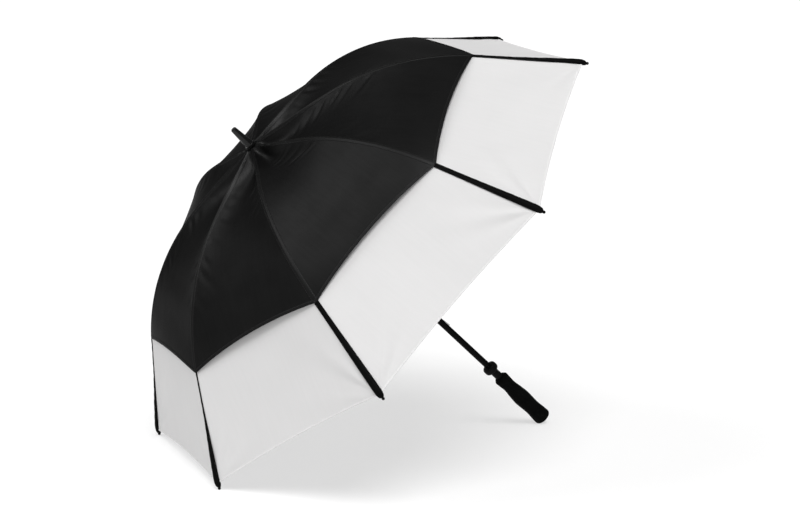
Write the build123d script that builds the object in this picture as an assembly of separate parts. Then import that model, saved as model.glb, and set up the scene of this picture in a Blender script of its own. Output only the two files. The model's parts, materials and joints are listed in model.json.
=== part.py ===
from build123d import *
import os
from math import acos, asin, atan2, cos, degrees, hypot, radians, sin, sqrt, tan

# Vented double-canopy golf umbrella, lying open on two rib ends and the end of its grip.
# Every piece is drawn upright first: the shaft runs along Z, the end of the grip is at z = 0 and
# the ferrule points up. The last section lays the finished pieces down on the floor.

# ---------------------------------------------------------------- driving dimensions, mm
RIBS = 8
OPEN_R = 630.0          # shaft axis to the very end of a rib nib
TIP_Z = 570.0           # height of the rib ends above the end of the grip
APEX_Z = 921.0          # height of the lower fabric line at APEX_R
APEX_R = 13.0
HEM_R = 469.0           # hem of the upper canopy, measured along a rib
VENT_R = 330.0          # inner edge of the lower canopy, under the upper one
FABRIC_T = 0.8
UPPER_LIFT = 2.4        # upper canopy above the lower fabric line
SEAM_GAP = 0.5          # half the gap between neighbouring gores

SLOPES = [4.0, 10.5, 48.0]    # slope of the rib at the crown, at the bend and down to its end, degrees
BEND_R = [13.0, 200.0, 473.0]  # where those slopes are reached

SHAFT_R = 7.0
SHAFT_WALL = 1.5
SHAFT_BASE, SHAFT_TOP = 5.0, 944.0

GRIP_LEN = 147.0
GRIP_END_R = 19.0
GRIP_ROUND = 8.0
GRIP_TOP_R, GRIP_MOUTH_R = 16.4, 12.4
GRIP_CHAMFER = 5.0
GRIP_WAVES = [(17.0, 38.0), (18.6, 74.0), (14.5, 113.0)]   # waist, swell and waist, (r, z)
PLUG_R, PLUG_H = 8.5, 5.0
PLUG_DIMPLE_R, PLUG_DIMPLE_H = 5.5, 1.0
NECK_R, KNOB_R = 9.0, 16.0
NECK_TOP, KNOB_TOP = 167.5, 186.0
KNOB_ROUND = 6.5

FERRULE_BASE, FERRULE_TOP = 926.2, 978.0
FERRULE_RING_R, FERRULE_RING_H = 10.8, 2.2
FERRULE_R, FERRULE_TIP_R = 9.6, 6.3    # its cone, below and above
CAP_Z, CAP_R, CAP_T = 924.6, 14.0, 1.4

PIVOT_R, PIVOT_Z = 15.0, 912.0     # crown wire that the ribs turn on
WIRE_R = 0.75
CROWN_R, CROWN_TOP, CROWN_H = 20.0, 917.0, 12.0
HUB_R = 10.8            # sleeve of the crown round the shaft, below its disc
SLOT_FLOOR_R = 11.4     # how near the shaft the crown's slots reach
SLOT_W = 2.6
BLADE_T = 2.0

ROD_R = 2.0             # rib rod
ROD_DROP = 3.4          # rod centre below the fabric line
RIDER_R = 294.0         # where a stretcher is pinned under its rib
RIDER_DROP = 10.8       # that pin below the fabric line, square to it
RIVET_R = 1.2
STRETCHER_LEN = 355.0
STRETCHER_R = 1.7
RUNNER_END_R = 17.0     # radius of a stretcher's inner end, in the runner's slot
RUNNER_R, RUNNER_LEN = 10.5, 46.0
FLANGE_R, FLANGE_H = 21.0, 10.0
RUNNER_FIT = 0.08
NIB_R = 3.2
SLEEVE_R = 2.6
SLEEVE_LEN = 24.0       # measured out along the radius
SADDLE = (15.0, 7.4)    # length along the rib and width
SADDLE_OVER, SADDLE_UNDER = 0.9, 3.4   # above the rod, and below the rivet
RIVET_LEN = 9.0
EDGE_R = OPEN_R - 12.0  # edge of the lower canopy, measured along a rib

STEP = 360.0 / RIBS
HALF = STEP / 2

# ---------------------------------------------------------------- the curve of a rib
# Two tangent arcs and a straight run, in the plane (r, z). An arc is kept as centre and radius, and
# a point on it is found from its slope, so the same curve can be drawn at any offset.


def arc_between(start, slope0, slope1, r1):
    chord = (r1 - start[0]) / cos((slope0 + slope1) / 2)
    radius = chord / (2 * sin((slope1 - slope0) / 2))
    centre = (start[0] - radius * sin(slope0), start[1] - radius * cos(slope0))
    end = (r1, start[1] - (r1 - start[0]) * tan((slope0 + slope1) / 2))
    return centre, radius, end


S0, S1, S2 = (radians(a) for a in SLOPES)
ARC_A, RAD_A, KNEE = arc_between((APEX_R, APEX_Z), S0, S1, BEND_R[1])
ARC_B, RAD_B, KNEE2 = arc_between(KNEE, S1, S2, BEND_R[2])


def line_z(r):
    """Height of the lower fabric line at radius r."""
    if r < KNEE[0]:
        return ARC_A[1] + sqrt(RAD_A**2 - (r - ARC_A[0]) ** 2)
    if r < KNEE2[0]:
        return ARC_B[1] + sqrt(RAD_B**2 - (r - ARC_B[0]) ** 2)
    return KNEE2[1] - (r - KNEE2[0]) * tan(S2)


def slope_at(r):
    if r < KNEE[0]:
        return asin((r - ARC_A[0]) / RAD_A)
    if r < KNEE2[0]:
        return asin((r - ARC_B[0]) / RAD_B)
    return S2


def raised(r, lift):
    """The point lift above the fabric line, square to it, as (r, z)."""
    s = slope_at(r)
    return r + lift * sin(s), line_z(r) + lift * cos(s)


def on_plane(points):
    return [Vector(x, 0, z) for x, z in points]


# ---------------------------------------------------------------- the stretcher linkage at rest
RIDER = raised(RIDER_R, -RIDER_DROP)
RUNNER_Z = RIDER[1] - sqrt(STRETCHER_LEN**2 - (RIDER[0] - RUNNER_END_R) ** 2)
FLANGE_TOP = RUNNER_Z + FLANGE_H / 2
NIB_C = (OPEN_R - NIB_R, TIP_Z)


def rod_end():
    """The rod's outer end, inside the nib and a little short of its ball."""
    return raised(NIB_C[0] - 6.0, -ROD_DROP)


def blade(a, ra, b, rb, thick):
    """A flat plate with round ends in the plane (r, z), centred on it."""
    ang = atan2(b[1] - a[1], b[0] - a[0])
    dist = hypot(b[0] - a[0], b[1] - a[1])
    lean = acos((ra - rb) / dist)
    pts = []
    for side in (1, -1):
        n = ang + side * lean
        pts.append(
            (
                (a[0] + ra * cos(n), a[1] + ra * sin(n)),
                (b[0] + rb * cos(n), b[1] + rb * sin(n)),
            )
        )
    web = make_face(Polyline(*on_plane([pts[0][0], pts[0][1], pts[1][1], pts[1][0]]), close=True))
    plate = extrude(web, thick / 2, dir=(0, 1, 0), both=True)
    return plate + disc(a, ra, thick) + disc(b, rb, thick)


def disc(c, r, thick):
    return Pos(c[0], 0, c[1]) * Rot(90, 0, 0) * Cylinder(r, thick)


def rod(a, b, r):
    """A straight round rod between two points of the plane (r, z)."""
    length = hypot(b[0] - a[0], b[1] - a[1])
    tilt = degrees(atan2(b[0] - a[0], b[1] - a[1]))
    mid = ((a[0] + b[0]) / 2, (a[1] + b[1]) / 2)
    return Pos(mid[0], 0, mid[1]) * Rot(0, tilt, 0) * Cylinder(r, length)


def along(a, b, t):
    d = hypot(b[0] - a[0], b[1] - a[1])
    return a[0] + (b[0] - a[0]) * t / d, a[1] + (b[1] - a[1]) * t / d


# ---------------------------------------------------------------- shaft, ferrule, crown
def make_shaft():
    tube = Pos(0, 0, (SHAFT_BASE + SHAFT_TOP) / 2) * (
        Cylinder(SHAFT_R, SHAFT_TOP - SHAFT_BASE)
        - Cylinder(SHAFT_R - SHAFT_WALL, SHAFT_TOP - SHAFT_BASE)
    )
    for z in CATCH_Z:
        tube -= Pos(-SHAFT_R, 0, z) * Box(8, SLOT_W, CATCH_LEN + 1.2)
    return tube


CATCH_LEN = 26.0
CATCH_OUT = 2.8         # how far a catch stands out of the shaft at its flat end
CATCH_FLUSH = 0.2       # and at its other end
CATCH_Z = [FLANGE_TOP - RUNNER_LEN - FLANGE_H - CATCH_LEN / 2 - 1.0, 330.0]


def make_catch(z, up):
    """A pressed spring latch in a slot of the shaft: a wedge with its flat end towards the runner."""
    back = SHAFT_R - 2.5
    lo, hi = z - CATCH_LEN / 2, z + CATCH_LEN / 2
    high, low = (CATCH_OUT, CATCH_FLUSH) if up else (CATCH_FLUSH, CATCH_OUT)
    outline = [(-back, lo), (-back, hi), (-(SHAFT_R + high), hi), (-(SHAFT_R + low), lo)]
    face = make_face(Polyline(*on_plane(outline), close=True))
    return extrude(face, BLADE_T / 2, dir=(0, 1, 0), both=True)


def make_ferrule():
    outline = make_face(
        Polyline(
            *on_plane(
                [
                    (0, FERRULE_BASE),
                    (FERRULE_RING_R, FERRULE_BASE),
                    (FERRULE_RING_R, FERRULE_BASE + FERRULE_RING_H),
                    (FERRULE_R, FERRULE_BASE + FERRULE_RING_H + 1.2),
                    (FERRULE_TIP_R, FERRULE_TOP - 1.8),
                    (FERRULE_TIP_R - 1.8, FERRULE_TOP),
                    (0, FERRULE_TOP),
                ]
            ),
            close=True,
        )
    )
    body = revolve(outline, Axis.Z)
    bore = SHAFT_TOP - FERRULE_BASE
    return body - Pos(0, 0, FERRULE_BASE + bore / 2) * Cylinder(SHAFT_R, bore)


def ring(major, minor, z):
    return Pos(0, 0, z) * Torus(major, minor)


def slots(inner, outer, z, height):
    """The radial slots of a crown or runner, one for each rib."""
    cut = Pos((inner + outer) / 2, 0, z) * Box(outer - inner, SLOT_W, height)
    return [Rot(0, 0, rib_angle(k)) * cut for k in range(1, RIBS + 1)]


def rib_angle(k):
    return -HALF + STEP * (k - 1)


def make_crown():
    disc_z = CROWN_TOP - CROWN_H / 2
    body = Pos(0, 0, disc_z) * Cylinder(CROWN_R, CROWN_H)
    body = fillet(body.edges().filter_by(GeomType.CIRCLE), 1.2)
    body += Pos(0, 0, disc_z - CROWN_H) * Cylinder(HUB_R, CROWN_H)
    body -= Pos(0, 0, disc_z) * Cylinder(SHAFT_R, 5 * CROWN_H)
    for s in slots(SLOT_FLOOR_R, CROWN_R + 2, disc_z, CROWN_H + 2):
        body -= s
    return body - ring(PIVOT_R, WIRE_R + 0.02, PIVOT_Z)


# ---------------------------------------------------------------- runner
RUNNER_WIRE = RUNNER_END_R - 4.0
COLLAR_OUT, COLLAR_H = 2.2, 10.0    # finger rim at the runner's lower end
RUNNER_SLOT_R = 11.2


def make_runner():
    low = FLANGE_TOP - FLANGE_H - RUNNER_LEN
    body = Pos(0, 0, (low + FLANGE_TOP) / 2) * Cylinder(RUNNER_R, FLANGE_TOP - low)
    flange = Pos(0, 0, RUNNER_Z) * Cylinder(FLANGE_R, FLANGE_H)
    flange = fillet(flange.edges().filter_by(GeomType.CIRCLE), 1.5)
    collar = Pos(0, 0, low + COLLAR_H / 2) * Cylinder(RUNNER_R + COLLAR_OUT, COLLAR_H)
    body += flange + fillet(collar.edges().filter_by(GeomType.CIRCLE), 1.2)
    body -= Pos(0, 0, (low + FLANGE_TOP) / 2) * Cylinder(SHAFT_R + RUNNER_FIT, 3 * RUNNER_LEN)
    for s in slots(RUNNER_SLOT_R, FLANGE_R + 2, RUNNER_Z, FLANGE_H + 2):
        body -= s
    return body - ring(RUNNER_WIRE, WIRE_R + 0.02, RUNNER_Z)


# ---------------------------------------------------------------- handle
def make_grip():
    corner = GRIP_END_R - GRIP_ROUND
    k = GRIP_ROUND * (1 - sqrt(0.5))
    base = Polyline(*on_plane([(0, GRIP_LEN), (0, 0), (corner, 0)]))
    turn = ThreePointArc(*on_plane([(corner, 0), (GRIP_END_R - k, k), (GRIP_END_R, GRIP_ROUND)]))
    shoulder = (GRIP_TOP_R, GRIP_LEN - GRIP_CHAMFER)
    side = Spline(
        *on_plane([(GRIP_END_R, GRIP_ROUND), *GRIP_WAVES, shoulder]),
        tangents=[(0, 0, 1), (0, 0, 1)],
    )
    top = Polyline(*on_plane([shoulder, (GRIP_MOUTH_R, GRIP_LEN), (0, GRIP_LEN)]))
    body = revolve(make_face(base + turn + side + top), Axis.Z)
    body -= Pos(0, 0, GRIP_LEN / 2 + SHAFT_BASE) * Cylinder(SHAFT_R, GRIP_LEN)
    return body - Pos(0, 0, PLUG_H / 2) * Cylinder(PLUG_R, PLUG_H)


def make_plug():
    plug = Pos(0, 0, PLUG_H / 2) * Cylinder(PLUG_R, PLUG_H)
    return plug - Cylinder(PLUG_DIMPLE_R, 2 * PLUG_DIMPLE_H)


def make_knob():
    neck = Pos(0, 0, (GRIP_LEN + NECK_TOP) / 2) * Cylinder(NECK_R, NECK_TOP - GRIP_LEN)
    barrel = Pos(0, 0, (NECK_TOP + KNOB_TOP) / 2) * Cylinder(KNOB_R, KNOB_TOP - NECK_TOP)
    barrel = fillet(barrel.edges().filter_by(GeomType.CIRCLE), KNOB_ROUND)
    return neck + barrel - Pos(0, 0, NECK_TOP) * Cylinder(SHAFT_R, 3 * (KNOB_TOP - NECK_TOP))


# ---------------------------------------------------------------- one rib, in the plane (r, z)
ROD_START = 34.0        # radius where the eye's blade turns into the rod
EYE_R = 3.2


def rib_path():
    """The rod's centre line: an arc, a tighter arc and a straight run."""
    pts = []
    for r0, r1 in ((ROD_START, KNEE[0]), (KNEE[0], KNEE2[0])):
        mid = (r0 + r1) / 2
        pts.append([raised(r, -ROD_DROP) for r in (r0, mid, r1 - 1e-7)])
    first = ThreePointArc(*on_plane(pts[0]))
    second = ThreePointArc(*on_plane([pts[0][2], pts[1][1], pts[1][2]]))
    last = Line(*on_plane([pts[1][2], rod_end()]))
    return Wire([first, second, last])


def make_rod():
    path = rib_path()
    return sweep(Plane(origin=path @ 0, z_dir=path % 0) * Circle(ROD_R), path=path)


def make_rib():
    """Glass-fibre rod with a flat eye at the crown."""
    eye = (PIVOT_R, PIVOT_Z)
    start = raised(ROD_START, -ROD_DROP)
    root = raised(ROD_START + 8.0, -ROD_DROP)
    body = make_rod() + blade(eye, EYE_R, start, ROD_R, BLADE_T)
    body += blade(start, ROD_R, root, ROD_R - 0.2, BLADE_T)
    return body - disc(eye, WIRE_R + 0.08, 10)


def make_nib():
    """Moulded end: a short sleeve over the rod and a ball that the fabric's pocket holds."""
    end = rod_end()
    start = raised(NIB_C[0] - SLEEVE_LEN, -ROD_DROP)
    sleeve = rod(start, end, SLEEVE_R)
    ball = Pos(NIB_C[0], 0, NIB_C[1]) * Sphere(NIB_R)
    neck = rod(end, NIB_C, SLEEVE_R)
    knuckle = Pos(end[0], 0, end[1]) * Sphere(SLEEVE_R)
    return sleeve + knuckle + neck + ball - rod(along(end, start, 2.5 * SLEEVE_LEN), end, ROD_R)


def make_rider():
    """Moulded saddle round the rod, with two cheeks and the rivet that carries a stretcher."""
    top = RIDER_DROP - ROD_DROP + ROD_R + SADDLE_OVER
    place = Pos(RIDER[0], 0, RIDER[1]) * Rot(0, degrees(slope_at(RIDER_R)), 0)
    block = Pos(0, 0, (top - SADDLE_UNDER) / 2) * Box(*SADDLE, top + SADDLE_UNDER)
    block = fillet(block.edges().filter_by(Axis.Y), 1.4)
    mouth_top = 3.6     # the slot for the stretcher's blade, open below
    block -= Pos(0, 0, mouth_top - 6.2) * Box(SADDLE[0] + 5, SLOT_W, 12.4)
    body = place * block - make_rod()
    return body + disc(RIDER, RIVET_R, RIVET_LEN)


def make_stretcher():
    inner = (RUNNER_END_R, RUNNER_Z)
    lap = 8.0           # how far a blade's taper runs over the rod
    a, b = along(inner, RIDER, 16.0), along(inner, RIDER, 16.0 + lap)
    c, d = along(RIDER, inner, 14.0), along(RIDER, inner, 14.0 + lap)
    body = rod(a, c, STRETCHER_R)
    body += blade(inner, 2.4, b, 1.6, BLADE_T) + blade(RIDER, 3.0, d, 1.6, BLADE_T)
    return body - disc(RIDER, RIVET_R + 0.06, 10)


# ---------------------------------------------------------------- fabric gores
# The lines that join two neighbouring ribs at equal heights are parallel, so a gore is one profile
# drawn across them, then trimmed to the wedge between the two ribs.


def gore_profile(r0, r1, lift):
    steps = max(6, round((r1 - r0) / 28))
    c = cos(radians(HALF))
    rs = [r0 + (r1 - r0) * i / steps for i in range(steps + 1)]
    if r0 < KNEE2[0] < r1:
        rs = sorted([r for r in rs if abs(r - KNEE2[0]) > 8] + [KNEE2[0]])

    def side(h):
        return [(r * c + h * sin(slope_at(r)), line_z(r) + h * cos(slope_at(r))) for r in rs]

    low, high = side(lift - FABRIC_T / 2), side(lift + FABRIC_T / 2)
    edges = Spline(*on_plane(low)) + Spline(*on_plane(high))
    edges += Line(*on_plane([low[0], high[0]])) + Line(*on_plane([low[-1], high[-1]]))
    return make_face(edges)


def make_gore(r0, r1, lift):
    a = radians(HALF)
    strip = extrude(gore_profile(r0, r1, lift), OPEN_R * sin(a) + 20, dir=(0, 1, 0), both=True)
    tip = SEAM_GAP / sin(a)
    far = OPEN_R + 40
    wedge = make_face(
        Polyline((tip, 0), (far, (far - tip) * tan(a)), (far, -(far - tip) * tan(a)), close=True)
    )
    return strip & Pos(0, 0, TIP_Z - 60) * extrude(wedge, 500)


# ---------------------------------------------------------------- lay the pieces down and write them
# The floor touches the balls of the two lowest nibs and the rounded end of the grip.
LOW_D = NIB_C[0] * cos(radians(HALF))
SPAN = (LOW_D - (GRIP_END_R - GRIP_ROUND), NIB_C[1] - GRIP_ROUND)
FLOOR = atan2(SPAN[1], SPAN[0]) + asin((GRIP_ROUND - NIB_R) / hypot(*SPAN))
LAID = Plane(
    origin=(0, 0, 0),
    x_dir=(-cos(FLOOR), 0, -sin(FLOOR)),
    z_dir=(-sin(FLOOR), 0, cos(FLOOR)),
).location


def all_pieces():
    pieces = {
        "shaft": make_shaft(),
        "ferrule": make_ferrule(),
        "canopy_cap": Pos(0, 0, CAP_Z + CAP_T / 2)
        * (Cylinder(CAP_R, CAP_T) - Cylinder(SHAFT_R, CAP_T)),
        "crown": make_crown(),
        "crown_wire": ring(PIVOT_R, WIRE_R, PIVOT_Z),
        "runner": make_runner(),
        "runner_wire": ring(RUNNER_WIRE, WIRE_R, RUNNER_Z),
        "top_catch": make_catch(CATCH_Z[0], True),
        "bottom_catch": make_catch(CATCH_Z[1], False),
        "knob": make_knob(),
        "grip": make_grip(),
        "grip_plug": make_plug(),
    }
    one_rib = {
        "rib": make_rib(),
        "rib_tip": make_nib(),
        "rib_joint": make_rider(),
        "stretcher": make_stretcher(),
    }
    one_gore = {
        "upper_panel": make_gore(12.0, HEM_R, UPPER_LIFT),
        "lower_panel": make_gore(VENT_R, EDGE_R, 0.0),
    }
    for k in range(1, RIBS + 1):
        for name, shape in one_rib.items():
            pieces[f"{name}_{k}"] = Rot(0, 0, rib_angle(k)) * shape
        for name, shape in one_gore.items():
            pieces[f"{name}_{k}"] = Rot(0, 0, rib_angle(k) + HALF) * shape
    return pieces


os.makedirs("parts", exist_ok=True)
laid = {name: LAID * shape for name, shape in all_pieces().items()}
box = Compound(children=[Compound(shape.solids()) for shape in laid.values()]).bounding_box()
shift = Pos(-(box.min.X + box.max.X) / 2, -(box.min.Y + box.max.Y) / 2, -box.min.Z)
for name, shape in laid.items():
    solids = (shift * shape).solids()
    assert len(solids) == 1, (name, len(solids))
    export_step(solids[0], f"parts/{name}.step")
print("floor angle", degrees(FLOOR), "shift", tuple(shift.position), "size", tuple(box.size))
print("rider", RIDER, "runner z", RUNNER_Z)
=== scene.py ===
import json
import math

import bmesh
import bpy
import numpy as np
from mathutils import Matrix, Vector


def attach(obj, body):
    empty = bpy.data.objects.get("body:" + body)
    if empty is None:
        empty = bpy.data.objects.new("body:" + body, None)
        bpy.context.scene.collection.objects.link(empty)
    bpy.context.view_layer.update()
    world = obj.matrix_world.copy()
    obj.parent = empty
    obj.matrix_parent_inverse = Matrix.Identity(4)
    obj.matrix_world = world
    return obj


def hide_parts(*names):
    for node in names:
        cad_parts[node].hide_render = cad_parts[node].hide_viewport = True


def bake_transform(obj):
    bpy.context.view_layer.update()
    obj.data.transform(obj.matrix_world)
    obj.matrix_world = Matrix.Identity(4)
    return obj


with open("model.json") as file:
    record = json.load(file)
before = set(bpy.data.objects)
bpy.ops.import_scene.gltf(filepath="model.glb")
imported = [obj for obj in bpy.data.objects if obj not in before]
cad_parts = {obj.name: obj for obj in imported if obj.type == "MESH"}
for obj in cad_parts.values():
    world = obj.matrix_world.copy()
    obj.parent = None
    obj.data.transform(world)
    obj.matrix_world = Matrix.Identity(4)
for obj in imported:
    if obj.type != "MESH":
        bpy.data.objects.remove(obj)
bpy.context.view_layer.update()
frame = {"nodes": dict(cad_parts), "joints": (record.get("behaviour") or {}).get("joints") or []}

# ------------------------------------------------------------------ the umbrella's own frame
# Lengths are millimetres until a point is placed. z runs up the shaft from the end of the grip,
# r out from it, and an angle is counted from rib 1 towards rib 2.
RIBS = 8
STEP = 2 * math.pi / RIBS
PIVOT_Z = 912.0
JOINTS = {j["name"]: j for j in frame["joints"]}
UP = -np.array(JOINTS["runner_slide"]["axis"], float)
PIVOTS = [np.array(JOINTS[f"rib_{k}_fold"]["pos_m"], float) for k in range(1, RIBS + 1)]
CROWN = np.mean(PIVOTS, axis=0)
OUT_1 = (PIVOTS[0] - CROWN) / np.linalg.norm(PIVOTS[0] - CROWN)
TAN_1 = np.array(JOINTS["rib_1_fold"]["axis"], float)


def out(angle):
    angle = np.asarray(angle, float)[..., None]
    return np.cos(angle) * OUT_1 + np.sin(angle) * TAN_1


def at(r, angle, z):
    r, z = np.asarray(r, float)[..., None], np.asarray(z, float)[..., None]
    return CROWN + (out(angle) * r + UP * (z - PIVOT_Z)) / 1000


def rib_angle(k):
    return (k - 1) * STEP


# The curve of a rib: two arcs and a straight run, as in the CAD.
SLOPES = np.radians([4.0, 10.5, 48.0])
BEND_R = (13.0, 200.0, 473.0)
APEX_Z = 921.0
HEM_R = 469.0       # the outer edge of the upper cloth, at a rib
VENT_R = 330.0      # where the lower cloth starts, under the upper one
EDGE_R = 622.0      # the outer edge of the lower cloth, at a rib
HEM_DIP, EDGE_DIP = 9.0, 6.0    # how far each edge curves in half way between two ribs


def arc_between(r0, z0, s0, s1, r1):
    radius = (r1 - r0) / math.cos((s0 + s1) / 2) / (2 * math.sin((s1 - s0) / 2))
    z1 = z0 - (r1 - r0) * math.tan((s0 + s1) / 2)
    return r0 - radius * math.sin(s0), z0 - radius * math.cos(s0), radius, z1


AX, AZ, AR, KNEE_Z = arc_between(BEND_R[0], APEX_Z, SLOPES[0], SLOPES[1], BEND_R[1])
BX, BZ, BR, KNEE2_Z = arc_between(BEND_R[1], KNEE_Z, SLOPES[1], SLOPES[2], BEND_R[2])


def line_z(r):
    r = np.asarray(r, float)
    first = AZ + np.sqrt(np.maximum(AR**2 - (r - AX) ** 2, 0))
    second = BZ + np.sqrt(np.maximum(BR**2 - (r - BX) ** 2, 0))
    third = KNEE2_Z - (r - BEND_R[2]) * math.tan(SLOPES[2])
    return np.where(r < BEND_R[1], first, np.where(r < BEND_R[2], second, third))


def slope(r):
    r = np.asarray(r, float)
    first = np.arcsin(np.clip((r - AX) / AR, -1, 1))
    second = np.arcsin(np.clip((r - BX) / BR, -1, 1))
    return np.where(r < BEND_R[1], first, np.where(r < BEND_R[2], second, SLOPES[2]))


def rib_normal(r, angle):
    s = slope(r)[..., None]
    return out(angle) * np.sin(s) + UP * np.cos(s)


def smooth(a, b, x):
    t = np.clip((np.asarray(x, float) - a) / (b - a), 0, 1)
    return t * t * (3 - 2 * t)


# ------------------------------------------------------------------ the shape of the fabric
VALLEY_START, VALLEY_REACH, VALLEY_DEEP = 8.0, 95.0, 20.0   # the long sag out from the crown
TUCK_START, TUCK_REACH, TUCK_DEEP = 22.0, 30.0, 9.0         # a shorter, closer tuck on top of it
VALLEY_POWER = 1.15
SAG_POWER = 2.3                                             # high: a flat floor and steep sides


def crown_valley(r):
    """How deep the cloth sinks half way between two ribs: a deep valley by the crown that fades."""
    t = np.maximum(np.asarray(r, float) - VALLEY_START, 0) / VALLEY_REACH
    near = np.maximum(np.asarray(r, float) - TUCK_START, 0) / TUCK_REACH
    valley = VALLEY_DEEP * (t * np.exp(1 - t)) ** VALLEY_POWER
    return valley + TUCK_DEEP * near * np.exp(1 - near)


def crown_sag(r, v):
    return crown_valley(r) * (1 - np.abs(2 * v - 1) ** SAG_POWER)


# Runs of short stress wrinkles beside a rib, by gore and side (0 beside its own rib, 1 beside the
# next): depth, where the first lies, spacing, how many, lengths, leans (outward if positive), widths.
CREASE_USUAL = (0.9, 105, 33, 8, (30, 70), (0.3, 0.9), (4.4, 8.2))
CREASE_RUNS = {
    (2, 1): (2.3, 98, 21, 7, (32, 46), (0.45, 0.8), (3.5, 5.4)),
    (3, 0): (0.15, 120, 42, 6, (30, 50), (0.2, 0.5), (5.0, 8.0)),
    (3, 1): (1.5, 118, 29, 5, (50, 64), (-0.7, -0.35), (4.0, 6.4)),
    (4, 1): (1.7, 108, 30, 8, (34, 60), (-0.9, -0.4), (3.8, 6.4)),
}
CREASES = {}


def creases(k, side):
    """Short stress wrinkles beside a rib: where along it, how long, how steep, how deep, how wide."""
    key = (k, side)
    if key not in CREASES:
        rng = np.random.default_rng(70 + 2 * k + side)
        strong, first, gap, count, lengths, leans, widths = CREASE_RUNS.get(key, CREASE_USUAL)
        CREASES[key] = [
            (
                first + gap * (i + rng.uniform(-0.3, 0.3)),
                rng.uniform(*lengths),
                rng.uniform(*leans),
                strong * rng.uniform(0.35, 1.5) * (0.4 + math.sin(math.pi * (i + 0.7) / (count + 0.4))),
                rng.uniform(*widths),
            )
            for i in range(count)
        ]
    return CREASES[key]


def wrinkle(k, r, v):
    width = 2 * r * math.sin(STEP / 2)
    total = np.zeros_like(r)
    for side in (0, 1):
        y = width * (v if side == 0 else 1 - v)
        for r0, length, lean, deep, thick in creases(k, side):
            across = (r - r0 - lean * y) / math.hypot(1, lean)
            q = (across / thick) ** 2
            along = smooth(5, 16, y) * (1 - smooth(0.3 * length, 1.25 * length, y))
            total -= deep * (1 - 0.55 * q) * np.exp(-q / 2) * along
    return total


def tip_folds(k, r, v, edge_r):
    """Shallow folds that fan out from the two lower corners of a gore."""
    rng = np.random.default_rng(300 + k)
    total = np.zeros_like(r)
    for side in (0, 1):
        y = 2 * r * math.sin(STEP / 2) * (v if side == 0 else 1 - v)
        along = (edge_r - r) / math.cos(SLOPES[2])
        reach = np.hypot(y, along)
        turn = np.arctan2(y, np.maximum(along, 1e-6))
        phase = rng.uniform(0, 6.28)
        fan = np.sin(turn * 8 + phase) + 0.45 * np.sin(turn * 13 + 2.1 * phase)
        total += 2.4 * fan * smooth(6, 60, reach) * np.exp(-reach / 115) * np.sin(turn * 2 + 0.2)
    soft = np.sin(r / 31 + 5 * v + rng.uniform(0, 6)) * np.sin(9 * v + rng.uniform(0, 6))
    total += 0.7 * soft * 4 * v * (1 - v)
    return total


def upper_lift(k, r, v):
    cup = 4 * v * (1 - v)
    rest = 1.3 + 2.6 * np.exp(-np.maximum(r - 10, 0) / 9)
    sag = crown_sag(r, v)
    vent = 3.2 * smooth(330, 380, r) * cup**0.6 + 7.0 * smooth(400, HEM_R, r) * cup**0.8
    return rest - sag + vent + wrinkle(k, r, v)


def lower_lift(k, r, v):
    cup = 4 * v * (1 - v)
    sag = crown_sag(r, v)
    hollow = 3.0 * cup * smooth(470, 560, r) * (1 - smooth(560, 640, r) * 0.6)
    return -sag - hollow + tip_folds(k, r, v, EDGE_R)


def upper_edge(v):
    return HEM_R - HEM_DIP * 4 * v * (1 - v)


def lower_edge(v):
    return EDGE_R - EDGE_DIP * 4 * v * (1 - v)


def on_gore(k, r, v, lift):
    """A point of the gore between rib k (v = 0) and the next rib (v = 1), lift above the ribs' line."""
    a0, a1 = rib_angle(k), rib_angle(k + 1)
    v3 = np.asarray(v, float)[..., None]
    z = line_z(r)
    p = at(r, a0, z) * (1 - v3) + at(r, a1, z) * v3
    n = rib_normal(r, a0) * (1 - v3) + rib_normal(r, a1) * v3
    n /= np.linalg.norm(n, axis=-1, keepdims=True)
    return p + n * np.asarray(lift, float)[..., None] / 1000, n


# ------------------------------------------------------------------ mesh helpers
def new_mesh(name, verts, faces, uvs=None, material=None, smooth_faces=True):
    mesh = bpy.data.meshes.new(name)
    mesh.from_pydata([tuple(map(float, p)) for p in verts], [], faces)
    if uvs is not None:
        layer = mesh.uv_layers.new(name="UVMap")
        corner = np.zeros(len(mesh.loops), np.int32)
        mesh.loops.foreach_get("vertex_index", corner)
        layer.data.foreach_set("uv", np.asarray(uvs, np.float32)[corner].ravel())
    mesh.polygons.foreach_set("use_smooth", [smooth_faces] * len(mesh.polygons))
    mesh.update()
    obj = bpy.data.objects.new(name, mesh)
    bpy.context.scene.collection.objects.link(obj)
    if material is not None:
        mesh.materials.append(material)
    return obj


def grid_faces(rows, cols, start=0, flip=False):
    i, j = np.meshgrid(np.arange(rows - 1), np.arange(cols - 1), indexing="ij")
    a = start + i * cols + j
    quads = np.stack([a, a + 1, a + cols + 1, a + cols], -1).reshape(-1, 4)
    return (quads[:, ::-1] if flip else quads).tolist()


def cloth(name, top, normals, uvs, thick, material, weights=None, bodies=None):
    """A sheet of cloth of the given thickness under a grid of points: two faces and a closed rim."""
    rows, cols = top.shape[:2]
    count = rows * cols
    low = top - normals * thick / 1000
    verts = np.concatenate([top.reshape(-1, 3), low.reshape(-1, 3)])
    faces = grid_faces(rows, cols) + grid_faces(rows, cols, count, True)
    rim = (
        [i * cols for i in range(rows)]
        + [(rows - 1) * cols + j for j in range(1, cols)]
        + [i * cols + cols - 1 for i in range(rows - 2, -1, -1)]
        + [j for j in range(cols - 2, 0, -1)]
    )
    faces += [(b, a, a + count, b + count) for a, b in zip(rim, rim[1:] + rim[:1])]
    flat_uv = uvs.reshape(-1, 2)
    obj = new_mesh(name, verts, faces, np.concatenate([flat_uv, flat_uv]), material)
    if weights is not None:
        bend(obj, np.concatenate([weights.ravel(), weights.ravel()]), *bodies)
    return obj


def bend(obj, weights, body_a, body_b):
    """Bakes the object's transform into its mesh, so it does not fold with the gore. The weights and
    the two bodies are not used.
    """
    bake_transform(obj)


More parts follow.
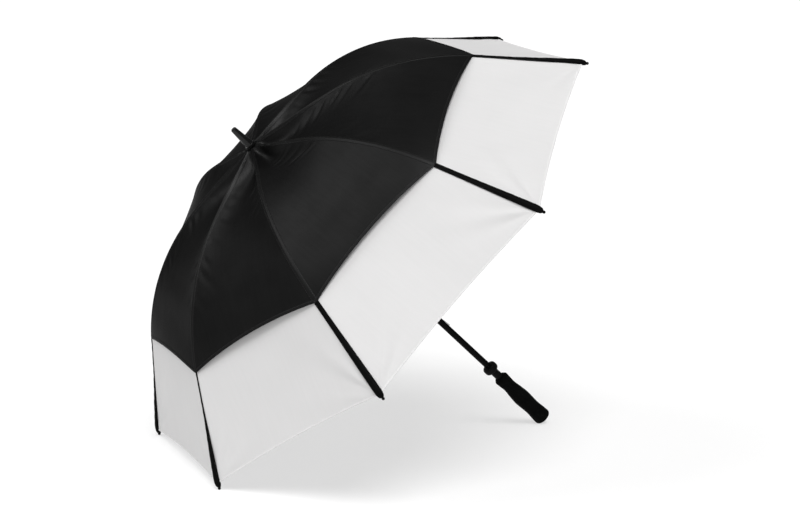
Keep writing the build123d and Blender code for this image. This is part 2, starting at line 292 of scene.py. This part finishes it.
def fold_weight(v):
    """The share of the fold between two ribs that cloth at v has turned through."""
    v = np.asarray(v, float)
    half = STEP / 2
    return 0.5 + np.arctan((2 * v - 1) * math.tan(half)) / STEP


def face_outwards(obj):
    """Turns the faces of a closed mesh outwards."""
    bm = bmesh.new()
    bm.from_mesh(obj.data)
    bmesh.ops.recalc_face_normals(bm, faces=bm.faces)
    bm.to_mesh(obj.data)
    bm.free()


def tube_faces(rings, around):
    """The faces of a closed tube: quads between rings of points and a cap at each end."""
    faces = []
    for i in range(rings - 1):
        near, far = i * around, (i + 1) * around
        for j in range(around):
            turn = (j + 1) % around
            faces.append((near + j, near + turn, far + turn, far + j))
    last = (rings - 1) * around
    return faces + [list(range(around))[::-1], [last + j for j in range(around)]]


# ------------------------------------------------------------------ materials
def material(name):
    m = bpy.data.materials.new(name)
    m.use_nodes = True
    tree = m.node_tree
    shader = next(n for n in tree.nodes if n.type == "BSDF_PRINCIPLED")
    return m, tree, shader


def node(tree, kind, **inputs):
    n = tree.nodes.new(kind)
    for key, value in inputs.items():
        n.inputs[key.replace("_", " ")].default_value = value
    return n


def coords(tree, kind="UV", scale=(1, 1, 1)):
    source = tree.nodes.new("ShaderNodeTexCoord")
    mapping = tree.nodes.new("ShaderNodeMapping")
    mapping.inputs["Scale"].default_value = scale
    tree.links.new(source.outputs[kind], mapping.inputs["Vector"])
    return mapping.outputs["Vector"]


def ramp(tree, source, stops):
    n = tree.nodes.new("ShaderNodeValToRGB")
    while len(n.color_ramp.elements) < len(stops):
        n.color_ramp.elements.new(0.5)
    for element, (pos, colour) in zip(n.color_ramp.elements, stops):
        element.position = pos
        element.color = (*colour, 1)
    tree.links.new(source, n.inputs["Fac"])
    return n.outputs["Color"]


def bump(tree, height, strength, distance, under=None):
    n = node(tree, "ShaderNodeBump", Strength=strength, Distance=distance)
    tree.links.new(height, n.inputs["Height"])
    if under is not None:
        tree.links.new(under, n.inputs["Normal"])
    return n.outputs["Normal"]


def maths(tree, operation, a, b):
    n = tree.nodes.new("ShaderNodeMath")
    n.operation = operation
    for socket, value in zip(n.inputs, (a, b)):
        if isinstance(value, (int, float)):
            socket.default_value = value
        else:
            tree.links.new(value, socket)
    return n.outputs[0]


def grey(v):
    return (v, v, v)


SATIN_TINT = 0.47


def woven(name, dark, light, rough, specular, satin=0.0, pitch=0.00042, weave=0.12):
    """Closely woven polyester: crossing threads, faint slubs, a little uneven in colour and gloss.

    satin turns that share of the surface into a dull mirror, for the broad sheen of black cloth.
    """
    m, tree, shader = material(name)
    uv = coords(tree)
    waves = []
    for direction in ("X", "Y"):
        w = node(tree, "ShaderNodeTexWave", Scale=1 / pitch / 20, Distortion=0.6, Detail=1.0)
        w.bands_direction = direction
        tree.links.new(uv, w.inputs["Vector"])
        waves.append(w.outputs["Fac"])
    threads = maths(tree, "MULTIPLY", waves[0], waves[1])
    slub = node(tree, "ShaderNodeTexNoise", Scale=420.0, Detail=3.0, Roughness=0.6)
    cloud = node(tree, "ShaderNodeTexNoise", Scale=9.0, Detail=4.0, Roughness=0.55)
    streak = node(tree, "ShaderNodeTexNoise", Scale=1.0, Detail=3.0, Roughness=0.5)
    tree.links.new(uv, slub.inputs["Vector"])
    tree.links.new(uv, cloud.inputs["Vector"])
    tree.links.new(coords(tree, scale=(14, 160, 1)), streak.inputs["Vector"])
    mixed = maths(
        tree,
        "ADD",
        maths(tree, "MULTIPLY", cloud.outputs["Fac"], 0.62),
        maths(tree, "MULTIPLY", streak.outputs["Fac"], 0.38),
    )
    tree.links.new(
        ramp(tree, mixed, [(0.32, dark), (0.68, light)]), shader.inputs["Base Color"]
    )
    tree.links.new(
        ramp(tree, slub.outputs["Fac"], [(0.3, grey(rough - 0.06)), (0.7, grey(rough + 0.07))]),
        shader.inputs["Roughness"],
    )
    ripple = node(tree, "ShaderNodeTexNoise", Scale=26.0, Detail=4.0, Roughness=0.5)
    tree.links.new(uv, ripple.inputs["Vector"])
    soft = bump(tree, ripple.outputs["Fac"], 0.22, 0.0022)
    tree.links.new(bump(tree, threads, weave, 0.00008, soft), shader.inputs["Normal"])
    shader.inputs["Specular IOR Level"].default_value = specular
    if satin:
        shader.inputs["Metallic"].default_value = satin
        shader.inputs["Specular Tint"].default_value = (*grey(SATIN_TINT), 1)
    return m


def moulded(name, dark, light, rough, grain=900.0, depth=0.00006, coat=0.0, specular=0.5):
    """Moulded or drawn black plastic with a fine grain, faint scuffs and slightly worn gloss."""
    m, tree, shader = material(name)
    where = coords(tree, "Object")
    fine = node(tree, "ShaderNodeTexNoise", Scale=grain, Detail=3.0, Roughness=0.6)
    scuff = node(tree, "ShaderNodeTexNoise", Scale=45.0, Detail=6.0, Roughness=0.7)
    for n in (fine, scuff):
        tree.links.new(where, n.inputs["Vector"])
    tree.links.new(
        ramp(tree, scuff.outputs["Fac"], [(0.35, dark), (0.75, light)]),
        shader.inputs["Base Color"],
    )
    tree.links.new(
        ramp(tree, scuff.outputs["Fac"], [(0.3, grey(rough)), (0.8, grey(rough + 0.14))]),
        shader.inputs["Roughness"],
    )
    tree.links.new(bump(tree, fine.outputs["Fac"], 0.5, depth), shader.inputs["Normal"])
    shader.inputs["Coat Weight"].default_value = coat
    shader.inputs["Coat Roughness"].default_value = 0.12
    shader.inputs["Specular IOR Level"].default_value = specular
    return m


FOAM_DARK, FOAM_WORN = (0.0014, 0.0017, 0.0016), (0.0034, 0.0038, 0.0037)


def foamed(name):
    """Closed-cell foam: small pores of two sizes, matt, a little greyer where hands rub it."""
    m, tree, shader = material(name)
    where = coords(tree, "Object")
    pores = node(tree, "ShaderNodeTexVoronoi", Scale=1500.0)
    large = node(tree, "ShaderNodeTexVoronoi", Scale=620.0)
    worn = node(tree, "ShaderNodeTexNoise", Scale=38.0, Detail=5.0, Roughness=0.6)
    for n in (pores, large, worn):
        tree.links.new(where, n.inputs["Vector"])
    tree.links.new(
        ramp(tree, worn.outputs["Fac"], [(0.35, FOAM_DARK), (0.7, FOAM_WORN)]),
        shader.inputs["Base Color"],
    )
    tree.links.new(
        ramp(tree, worn.outputs["Fac"], [(0.3, grey(0.62)), (0.75, grey(0.8))]),
        shader.inputs["Roughness"],
    )
    first = bump(tree, large.outputs["Distance"], 0.35, 0.0004)
    tree.links.new(
        bump(tree, pores.outputs["Distance"], 0.4, 0.0002, first), shader.inputs["Normal"]
    )
    shader.inputs["Specular IOR Level"].default_value = 0.03
    return m


def steel(name):
    m, tree, shader = material(name)
    where = coords(tree, "Object", (60, 60, 900))
    drawn = node(tree, "ShaderNodeTexNoise", Scale=3.0, Detail=3.0, Roughness=0.5)
    tree.links.new(where, drawn.inputs["Vector"])
    tree.links.new(
        ramp(tree, drawn.outputs["Fac"], [(0.3, grey(0.42)), (0.7, grey(0.62))]),
        shader.inputs["Base Color"],
    )
    tree.links.new(
        ramp(tree, drawn.outputs["Fac"], [(0.3, grey(0.24)), (0.7, grey(0.38))]),
        shader.inputs["Roughness"],
    )
    shader.inputs["Metallic"].default_value = 1.0
    return m


BLACK = woven("black_polyester", grey(0.0130), grey(0.0175), 0.45, 0.0, satin=0.8)
TAPE = woven("black_seam_tape", grey(0.016), grey(0.021), 0.45, 0.0, satin=0.8, pitch=0.0007)
COVER = woven("black_rib_cover", grey(0.0016), grey(0.0034), 0.6, 0.03, pitch=0.0008, weave=0.3)
WHITE = woven("white_polyester", (0.612, 0.608, 0.608), (0.636, 0.631, 0.631), 0.6, 0.1)
# The lower hem is the same white cloth made a little lighter: a painted highlight for the bright line
# along its rolled edge.
WHITE_HEM_PAINTED_HIGHLIGHT = woven("white_hem_painted_highlight", (0.66, 0.655, 0.655), (0.69, 0.685, 0.685), 0.5, 0.15)
THREAD_BLACK = moulded("black_thread", grey(0.012), grey(0.02), 0.5, grain=3000.0)
THREAD_WHITE = moulded("white_thread", grey(0.62), grey(0.70), 0.5, grain=3000.0, specular=0.2)
SHAFT = moulded("black_glass_fibre_tube", grey(0.0012), grey(0.0024), 0.34, grain=500.0, specular=0.06)
ROD = moulded("black_glass_fibre_rod", grey(0.003), grey(0.006), 0.4, grain=700.0, specular=0.25)
NYLON = moulded("black_nylon", grey(0.0015), grey(0.0035), 0.46, grain=1100.0, specular=0.08)
GLOSS = moulded("black_gloss", grey(0.001), grey(0.002), 0.2, grain=300.0, depth=0.00002, specular=0.35)
FOAM = foamed("black_foam")
STEEL = steel("spring_steel")


# ------------------------------------------------------------------ gores
ROWS_UP, ROWS_LOW, COLS = 150, 110, 88
CLOTH_T = 0.45
CROWN_HOLE = 9.0


def spread(count):
    """0 to 1, closer together at both ends, so that the cloth has more points beside the ribs."""
    t = np.linspace(0, 1, count)
    return 0.5 * t + 0.5 * (0.5 - 0.5 * np.cos(np.pi * t))


def gore_grid(k, r_start, edge, lift, rows, cols):
    v = np.broadcast_to(spread(cols), (rows, cols))
    u = np.broadcast_to(np.linspace(0, 1, rows)[:, None], (rows, cols))
    r = r_start + (edge(v) - r_start) * u
    points, normals = on_gore(k, r, v, lift(k, r, v))
    du = np.gradient(points, axis=0)
    dv = np.gradient(points, axis=1)
    true = np.cross(dv, du)
    true /= np.linalg.norm(true, axis=-1, keepdims=True)
    true *= np.sign((true * normals).sum(-1, keepdims=True))
    uv = np.stack([r / 1000 * 1.15, 2 * r * math.sin(STEP / 2) * (v - 0.5) / 1000 + 0.7 * k], -1)
    return points, true, uv, v


def make_gore(k):
    bodies = (f"arm_{k}", f"gore_{k}")
    made = []
    for kind, start, edge, lift, rows, mat, node_name in (
        ("upper", CROWN_HOLE, upper_edge, upper_lift, ROWS_UP, BLACK, "upper_panel"),
        ("lower", VENT_R, lower_edge, lower_lift, ROWS_LOW, WHITE, "lower_panel"),
    ):
        points, normals, uv, v = gore_grid(k, start, edge, lift, rows, COLS)
        obj = cloth(
            f"canopy_{kind}_{k}", points, normals, uv, CLOTH_T, mat, fold_weight(v), bodies
        )
        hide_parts(f"{node_name}_{k}")
        made.append(obj)
    return made


HEMS = {
    "upper": (upper_edge, upper_lift, 7.0, TAPE),
    "lower": (lower_edge, lower_lift, 4.2, WHITE_HEM_PAINTED_HIGHLIGHT),
}
HEM_SEWN = {"upper": (5.6, 0.24, THREAD_BLACK), "lower": (3.2, 0.18, THREAD_WHITE)}
HEM_COLS = 120
HEM_PITCH = 4.0


def hem(k, kind):
    """A folded hem: a narrow band of double cloth with a rounded outer edge and a line of stitching."""
    edge, lift, wide, mat = HEMS[kind]
    # across the band: inner edge on the cloth, over its top, round the outer fold and back under
    profile = [
        (-wide, -0.10), (-wide + 0.3, 0.42), (-wide * 0.6, 0.58), (-wide * 0.2, 0.62), (-0.4, 0.55),
        (0.35, 0.15), (0.45, -0.3), (0.2, -0.8), (-0.5, -1.0), (-wide * 0.5, -1.0), (-wide, -0.75),
    ]
    cols = HEM_COLS
    v = np.linspace(0.004, 0.996, cols)
    r_edge = edge(v)
    rows = []
    for shift, raised in profile:
        r = r_edge + shift * np.cos(slope(r_edge))
        base = lift(k, np.minimum(r, r_edge), v)
        rows.append(on_gore(k, r, v, base + raised)[0])
    ring = np.stack(rows)
    n = len(profile)
    verts = ring.reshape(-1, 3)
    faces = [
        (i * cols + j, i * cols + j + 1, ((i + 1) % n) * cols + j + 1, ((i + 1) % n) * cols + j)
        for i in range(n)
        for j in range(cols - 1)
    ]
    faces += [[i * cols for i in range(n)][::-1], [i * cols + cols - 1 for i in range(n)]]
    length = 2 * r_edge * math.sin(STEP / 2) / 1000
    uv = np.stack(
        [
            np.repeat(np.array([p[0] for p in profile])[:, None] / 1000, cols, 1),
            np.broadcast_to(v * length, (n, cols)) + 0.9 * k,
        ],
        -1,
    ).reshape(-1, 2)
    obj = new_mesh(f"hem_{kind}_{k}", verts, faces, uv, mat)
    face_outwards(obj)
    bend(obj, np.tile(fold_weight(v), n), f"arm_{k}", f"gore_{k}")
    return obj


def stitches(name, centres, ahead, up, mat, length=2.9, radius=0.24, weights=None, bodies=None):
    """A row of short raised threads, one at each centre, lying along ahead and bulging towards up."""
    side = np.cross(ahead, up)
    side /= np.linalg.norm(side, axis=-1, keepdims=True)
    sections = ((-0.5, 0.25, -0.5), (-0.3, 0.9, 0.3), (0.3, 0.9, 0.3), (0.5, 0.25, -0.5))
    around = 5
    verts, faces, w = [], [], []
    for i in range(len(centres)):
        start = len(verts)
        for t, size, rise in sections:
            mid = centres[i] + ahead[i] * t * length / 1000 + up[i] * rise * radius / 1000
            for a in np.linspace(0, 2 * np.pi, around, endpoint=False):
                verts.append(
                    mid + (side[i] * math.cos(a) + up[i] * math.sin(a)) * radius * size / 1000
                )
                if weights is not None:
                    w.append(weights[i])
        for s in range(len(sections) - 1):
            for a in range(around):
                b = (a + 1) % around
                base = start + s * around
                faces.append((base + a, base + b, base + around + b, base + around + a))
        faces.append([start + a for a in range(around)][::-1])
        faces.append([start + (len(sections) - 1) * around + a for a in range(around)])
    obj = new_mesh(name, verts, faces, None, mat)
    if weights is not None:
        bend(obj, w, *bodies)
    return obj


def hem_stitches(k, kind):
    """The row of stitches that holds a hem down."""
    edge, lift = HEMS[kind][:2]
    inset, radius, thread = HEM_SEWN[kind]
    reach = 2 * edge(0.5) * math.sin(STEP / 2)
    count = int(reach / HEM_PITCH)
    v = (np.arange(count) + 0.5) / count
    r = edge(v) - inset * np.cos(slope(edge(v)))
    points, normals = on_gore(k, r, v, lift(k, r, v) + 0.62)
    ahead = np.gradient(points, axis=0)
    ahead /= np.linalg.norm(ahead, axis=-1, keepdims=True)
    obj = stitches(
        f"stitch_{kind}_{k}", points, ahead, normals, thread, radius=radius,
        weights=fold_weight(v), bodies=(f"arm_{k}", f"gore_{k}"),
    )
    return obj


# ------------------------------------------------------------------ what runs along a rib
def beside_rib(k, r, y, raised, lift):
    """A point on the canopy at y mm to one side of rib k, following the gore on that side."""
    width = 2 * r * math.sin(STEP / 2)
    left = y < 0
    gore_next, gore_back = k, (k - 2) % RIBS + 1
    v_next = np.clip(y / width, 0, 1)
    v_back = np.clip(1 + y / width, 0, 1)
    a, na = on_gore(gore_next, r, v_next, lift(gore_next, r, v_next) + raised)
    b, nb = on_gore(gore_back, r, v_back, lift(gore_back, r, v_back) + raised)
    pick = left[..., None]
    return np.where(pick, b, a), np.where(pick, nb, na)


SEAM_START, SEAM_SEWN_FROM, SEAM_PITCH = 14, 24, 3.7


def seam_half(r):
    """Half the width of the seam band: narrow at the crown, 12 mm across from r = 130 outwards."""
    return 2.0 + 4.0 * smooth(SEAM_START, 130, r)


def seam_band(k):
    """The felled seam over a rib: a flat band that rides the ridge, with a stitched line each side."""
    rows = 150
    r = np.linspace(SEAM_START, HEM_R - 0.5, rows)
    half = seam_half(r)
    across = np.array([-1, -0.96, -0.75, -0.4, -0.1, 0.1, 0.4, 0.75, 0.96, 1])
    up_by = np.array([0.05, 0.42, 0.5, 0.55, 0.7, 0.7, 0.55, 0.5, 0.42, 0.05])
    rr = np.broadcast_to(r[:, None], (rows, len(across)))
    y = half[:, None] * across
    top, normals = beside_rib(k, rr, y, np.broadcast_to(up_by, rr.shape), upper_lift)
    uv = np.stack([rr / 1000 * 1.1, y / 1000 + 0.5 * k], -1)
    obj = cloth(f"seam_{k}", top, normals, uv, 0.5, TAPE)
    face_outwards(obj)
    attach(obj, f"arm_{k}")
    rows_of = []
    for side in (-1, 1):
        s = np.arange(SEAM_SEWN_FROM, HEM_R - 4, SEAM_PITCH)
        p, n = beside_rib(k, s, side * 0.78 * seam_half(s), 0.55, upper_lift)
        ahead = np.gradient(p, axis=0)
        ahead /= np.linalg.norm(ahead, axis=-1, keepdims=True)
        rows_of.append((p, ahead, n))
    p, ahead, n = (np.concatenate(x) for x in zip(*rows_of))
    thread = stitches(f"seam_stitch_{k}", p, ahead, n, THREAD_BLACK, length=2.6, radius=0.17)
    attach(thread, f"arm_{k}")
    return obj, thread


COVER_START, COVER_END = 461.0, 627.0
COVER_TURNED = (1, 2)       # on these two ribs the inner half of the sleeve is twisted on edge
COVER_WIDE, COVER_NARROW, COVER_FULL = 5.4, 1.9, 8.0    # half widths: inner end, twisted, at the tip


def cover_half(k, t):
    """Half the width of a sleeve, t from 0 at the hem to 1 at the tip."""
    start = COVER_NARROW if k in COVER_TURNED else COVER_WIDE
    widen = smooth(0.2, 0.98, t) if k in COVER_TURNED else smooth(0, 0.95, t)
    return start + (COVER_FULL - start) * widen


def cover_height(t):
    """How far a sleeve stands up from the cloth."""
    return 1.5 + 4.4 * smooth(0.3, 0.95, t)


def rib_cover(k):
    """The black sleeve sewn over the outer end of a rib: slim at the hem, full and round at the tip."""
    rows = 90
    t = np.linspace(0, 1, rows)
    r = COVER_START + (COVER_END - COVER_START) * t
    end = np.sqrt(np.clip(1 - ((t - 0.93) / 0.07).clip(0, 1) ** 2, 0, 1))
    start = np.sqrt(np.clip(1 - ((0.03 - t) / 0.03).clip(0, 1) ** 2, 0, 1))
    half = cover_half(k, t) * (0.34 + 0.66 * end) * (0.4 + 0.6 * start)
    tall = cover_height(t) * (0.1 + 0.9 * end) * (0.5 + 0.5 * start)
    deep = 1.3 + 5.2 * smooth(0.9, 0.975, t)
    around = 28
    a = np.linspace(0, 2 * np.pi, around, endpoint=False)
    c, s = np.cos(a), np.sin(a)
    pinch = np.sign(c) * np.abs(c) ** 0.85
    y = half[:, None] * pinch
    h = np.where(s >= 0, tall[:, None] * s, deep[:, None] * s) + 0.35
    rng = np.random.default_rng(500 + k)
    ripple = sum(
        rng.uniform(0.05, 0.16) * np.sin(t[:, None] * f + rng.uniform(0, 6) + a * 1.0)
        for f in (31, 57, 83)
    )
    rr = np.broadcast_to(r[:, None], h.shape)
    place = at(rr, rib_angle(k), line_z(rr))
    n = rib_normal(rr, rib_angle(k))
    tan = out(rib_angle(k) + math.pi / 2)
    fall = -np.abs(y) * 0.16
    points = place + (n * (h + fall + ripple * (s > 0))[..., None] + tan * y[..., None]) / 1000
    uv = np.stack([rr / 1000, y / 1000 + 0.3 * k], -1).reshape(-1, 2)
    faces = tube_faces(rows, around)
    obj = new_mesh(f"rib_cover_{k}", points.reshape(-1, 3), faces, uv, COVER)
    face_outwards(obj)
    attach(obj, f"arm_{k}")
    rows_of = []
    for side in (-1, 1):
        s = np.arange(COVER_START + 6, COVER_END - 14, 3.6 * math.cos(SLOPES[2]))
        tt = (s - COVER_START) / (COVER_END - COVER_START)
        yy = side * cover_half(k, tt) * 0.86
        lift = 0.5 + cover_height(tt) * 0.42 - np.abs(yy) * 0.16
        p = at(s, rib_angle(k), line_z(s)) + (
            rib_normal(s, rib_angle(k)) * lift[:, None] + tan * yy[:, None]
        ) / 1000
        ahead = np.gradient(p, axis=0)
        ahead /= np.linalg.norm(ahead, axis=-1, keepdims=True)
        up = rib_normal(s, rib_angle(k)) + tan * side * 0.8
        up /= np.linalg.norm(up, axis=-1, keepdims=True)
        rows_of.append((p, ahead, up))
    p, ahead, up = (np.concatenate(x) for x in zip(*rows_of))
    thread = stitches(f"cover_stitch_{k}", p, ahead, up, THREAD_BLACK, length=2.4, radius=0.2)
    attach(thread, f"arm_{k}")
    return obj, thread


TIE_R = (120.0, 215.0, 400.0, 520.0)


def rib_ties(k):
    """Knotted thread loops that hold the canopy to a rib, seen from inside."""
    verts, faces = [], []
    around, tube = 20, 6
    for r in TIE_R:
        centre = at(r, rib_angle(k), line_z(r)) - rib_normal(np.array(r), rib_angle(k)) * 0.0026
        s = slope(r)
        along = out(rib_angle(k)) * math.cos(s) - UP * math.sin(s)
        tan = out(rib_angle(k) + math.pi / 2)
        n = rib_normal(np.array(r), rib_angle(k))
        start = len(verts)
        for i in range(around):
            a = 2 * math.pi * i / around
            spoke = tan * math.cos(a) * 0.82 + n * math.sin(a)
            mid = centre + spoke * 0.0031 + along * 0.0008 * math.sin(2 * a)
            thick = 0.00042 * (1.8 if i in (14, 15, 16) else 1.0)
            for j in range(tube):
                b = 2 * math.pi * j / tube
                verts.append(mid + (spoke * math.cos(b) + along * math.sin(b)) * thick)
        for i in range(around):
            near, far = start + i * tube, start + (i + 1) % around * tube
            for j in range(tube):
                turn = (j + 1) % tube
                faces.append((near + j, near + turn, far + turn, far + j))
    obj = new_mesh(f"rib_tie_{k}", verts, faces, None, THREAD_BLACK)
    face_outwards(obj)
    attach(obj, f"arm_{k}")
    return obj


# ------------------------------------------------------------------ turned pieces round the shaft
def lathe(name, profile, mat, around=96, wobble=None):
    """A closed solid of revolution round the shaft from (r, z) points, r = 0 at both ends."""
    r = np.array([p[0] for p in profile])[:, None]
    z = np.array([p[1] for p in profile])[:, None]
    a = np.linspace(0, 2 * np.pi, around, endpoint=False)[None, :]
    rr = np.broadcast_to(r, (len(profile), around)).copy()
    if wobble is not None:
        rr = rr + wobble(a, z)
    points = at(rr, np.broadcast_to(a, rr.shape), np.broadcast_to(z, rr.shape))
    obj = new_mesh(name, points.reshape(-1, 3), tube_faces(len(profile), around), None, mat)
    face_outwards(obj)
    return obj


def curve_through(points, count):
    """Points on a smooth Catmull-Rom curve through (r, z) points."""
    p = np.array(points, float)
    ext = np.vstack([2 * p[0] - p[1], p, 2 * p[-1] - p[-2]])
    result = []
    for i in range(1, len(ext) - 2):
        for t in np.linspace(0, 1, count, endpoint=False):
            a, b, c, d = ext[i - 1 : i + 3]
            square, cube = 2 * a - 5 * b + 4 * c - d, 3 * b - a - 3 * c + d
            result.append(0.5 * (2 * b + (c - a) * t + square * t**2 + cube * t**3))
    result.append(p[-1])
    return [tuple(q) for q in result]


# The foam grip, as (r, z): its rounded butt, its waved side and its chamfered top.
GRIP_ROUND, GRIP_END_R = 8, 19
GRIP_SIDE = [
    (19, 8), (18.4, 20), (17.0, 38), (17.8, 56), (18.6, 74),
    (17.0, 93), (14.6, 113), (15.4, 128), (16.3, 140),
]
GRIP_TOP = [(16.3, 141.4), (15.8, 142.6), (13.6, 145.2), (12.9, 146.2), (12.2, 146.9), (7.2, 147.0)]


def make_grip():
    corner = GRIP_END_R - GRIP_ROUND
    butt = [
        (corner + GRIP_ROUND * math.sin(a), GRIP_ROUND - GRIP_ROUND * math.cos(a))
        for a in np.linspace(0, math.pi / 2, 14)
    ]
    side = curve_through(GRIP_SIDE, 10)
    profile = [(8.7, 0.4), (9.0, 0.12), (9.6, 0.0)] + butt + side[1:] + GRIP_TOP
    rng = np.random.default_rng(9)
    waves = [
        (rng.integers(2, 6), rng.uniform(0.02, 0.09), rng.uniform(0, 6), rng.uniform(0.02, 0.05))
        for _ in range(7)
    ]

    def wobble(a, z):
        return sum(
            deep * 1.6 * np.sin(round_by * a + along_by * z + phase)
            for round_by, along_by, phase, deep in waves
        )

    obj = lathe("foam_grip", profile, FOAM, 128, wobble)
    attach(obj, "frame")
    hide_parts("grip")
    return obj


# ------------------------------------------------------------------ build
for k in range(1, RIBS + 1):
    upper, lower = make_gore(k)
    face_outwards(upper)
    face_outwards(lower)
    extra_up = [hem(k, "upper"), hem_stitches(k, "upper"), *seam_band(k)]
    extra_low = [hem(k, "lower"), hem_stitches(k, "lower"), *rib_cover(k), rib_ties(k)]
make_grip()

PLAIN = {
    "shaft": SHAFT, "ferrule": GLOSS, "canopy_cap": NYLON, "crown": NYLON, "crown_wire": STEEL,
    "knob": NYLON, "grip_plug": NYLON, "runner": NYLON, "runner_wire": STEEL,
    "top_catch": STEEL, "bottom_catch": STEEL,
}
for k in range(1, RIBS + 1):
    PLAIN[f"rib_{k}"] = ROD
    PLAIN[f"stretcher_{k}"] = ROD
    PLAIN[f"rib_tip_{k}"] = NYLON
    PLAIN[f"rib_joint_{k}"] = NYLON
for name, mat in PLAIN.items():
    mesh = frame["nodes"][name].data
    mesh.materials.clear()
    mesh.materials.append(mat)

# ------------------------------------------------------------------ floor, light and camera
FLOOR_SIZE = 60             # metres, so that its edge is never seen
FLOOR_GREY = 0.42           # the share that takes the shadow
FLOOR_GLOW = 0.58           # the share that stays white under it, as in a studio cut-out
bpy.ops.mesh.primitive_plane_add(size=FLOOR_SIZE, location=(0, 0, 0))
floor = bpy.context.object
floor.name = "studio_floor"
floor_mat, _, floor_shader = material("studio_white")
floor_shader.inputs["Base Color"].default_value = (*grey(FLOOR_GREY), 1)
floor_shader.inputs["Emission Color"].default_value = (1, 1, 1, 1)
floor_shader.inputs["Emission Strength"].default_value = FLOOR_GLOW
floor_shader.inputs["Roughness"].default_value = 0.9
floor_shader.inputs["Specular IOR Level"].default_value = 0.0
floor.data.materials.append(floor_mat)

scene = bpy.context.scene
scene.view_settings.view_transform = "Standard"
scene.view_settings.look = "None"
world = bpy.data.worlds.new("studio")
scene.world = world
world.use_nodes = True
background = world.node_tree.nodes["Background"]
background.inputs["Color"].default_value = (1, 1, 1, 1)
AMBIENT = 0.26
seen = world.node_tree.nodes.new("ShaderNodeLightPath")
pick = world.node_tree.nodes.new("ShaderNodeMix")
pick.inputs["A"].default_value = AMBIENT
pick.inputs["B"].default_value = 1.0
world.node_tree.links.new(seen.outputs["Is Camera Ray"], pick.inputs["Factor"])
world.node_tree.links.new(pick.outputs["Result"], background.inputs["Strength"])


def soft_light(name, towards, width, energy):
    """A very wide, even light from far off in the given direction, like a large overhead softbox."""
    lamp = bpy.data.lights.new(name, "SUN")
    lamp.angle = math.radians(width)
    lamp.energy = energy
    obj = bpy.data.objects.new(name, lamp)
    scene.collection.objects.link(obj)
    obj.rotation_mode = "QUATERNION"
    obj.rotation_quaternion = (-Vector(towards)).to_track_quat("-Z", "Y")
    return obj


soft_light("key", (-0.07, -0.50, 0.86), 32, 2.48)
soft_light("fill", (-0.65, 0.23, 0.73), 44, 1.18)

CAMERA_AT = Vector((-1.8426, -5.4891, 1.5256))
CAMERA_AIM = Vector((0.0738, -0.0328, 0.3880))
CAMERA_ROLL = math.radians(-1.13)
LENS, SENSOR = 124.5, 36.0
camera_data = bpy.data.cameras.new("camera")
camera_data.lens = LENS
camera_data.sensor_width = SENSOR
camera = bpy.data.objects.new("camera", camera_data)
scene.collection.objects.link(camera)
look = (CAMERA_AIM - CAMERA_AT).to_track_quat("-Z", "Y")
camera.rotation_mode = "QUATERNION"
camera.rotation_quaternion = look @ Matrix.Rotation(CAMERA_ROLL, 3, "Z").to_quaternion()
camera.location = CAMERA_AT
scene.camera = camera
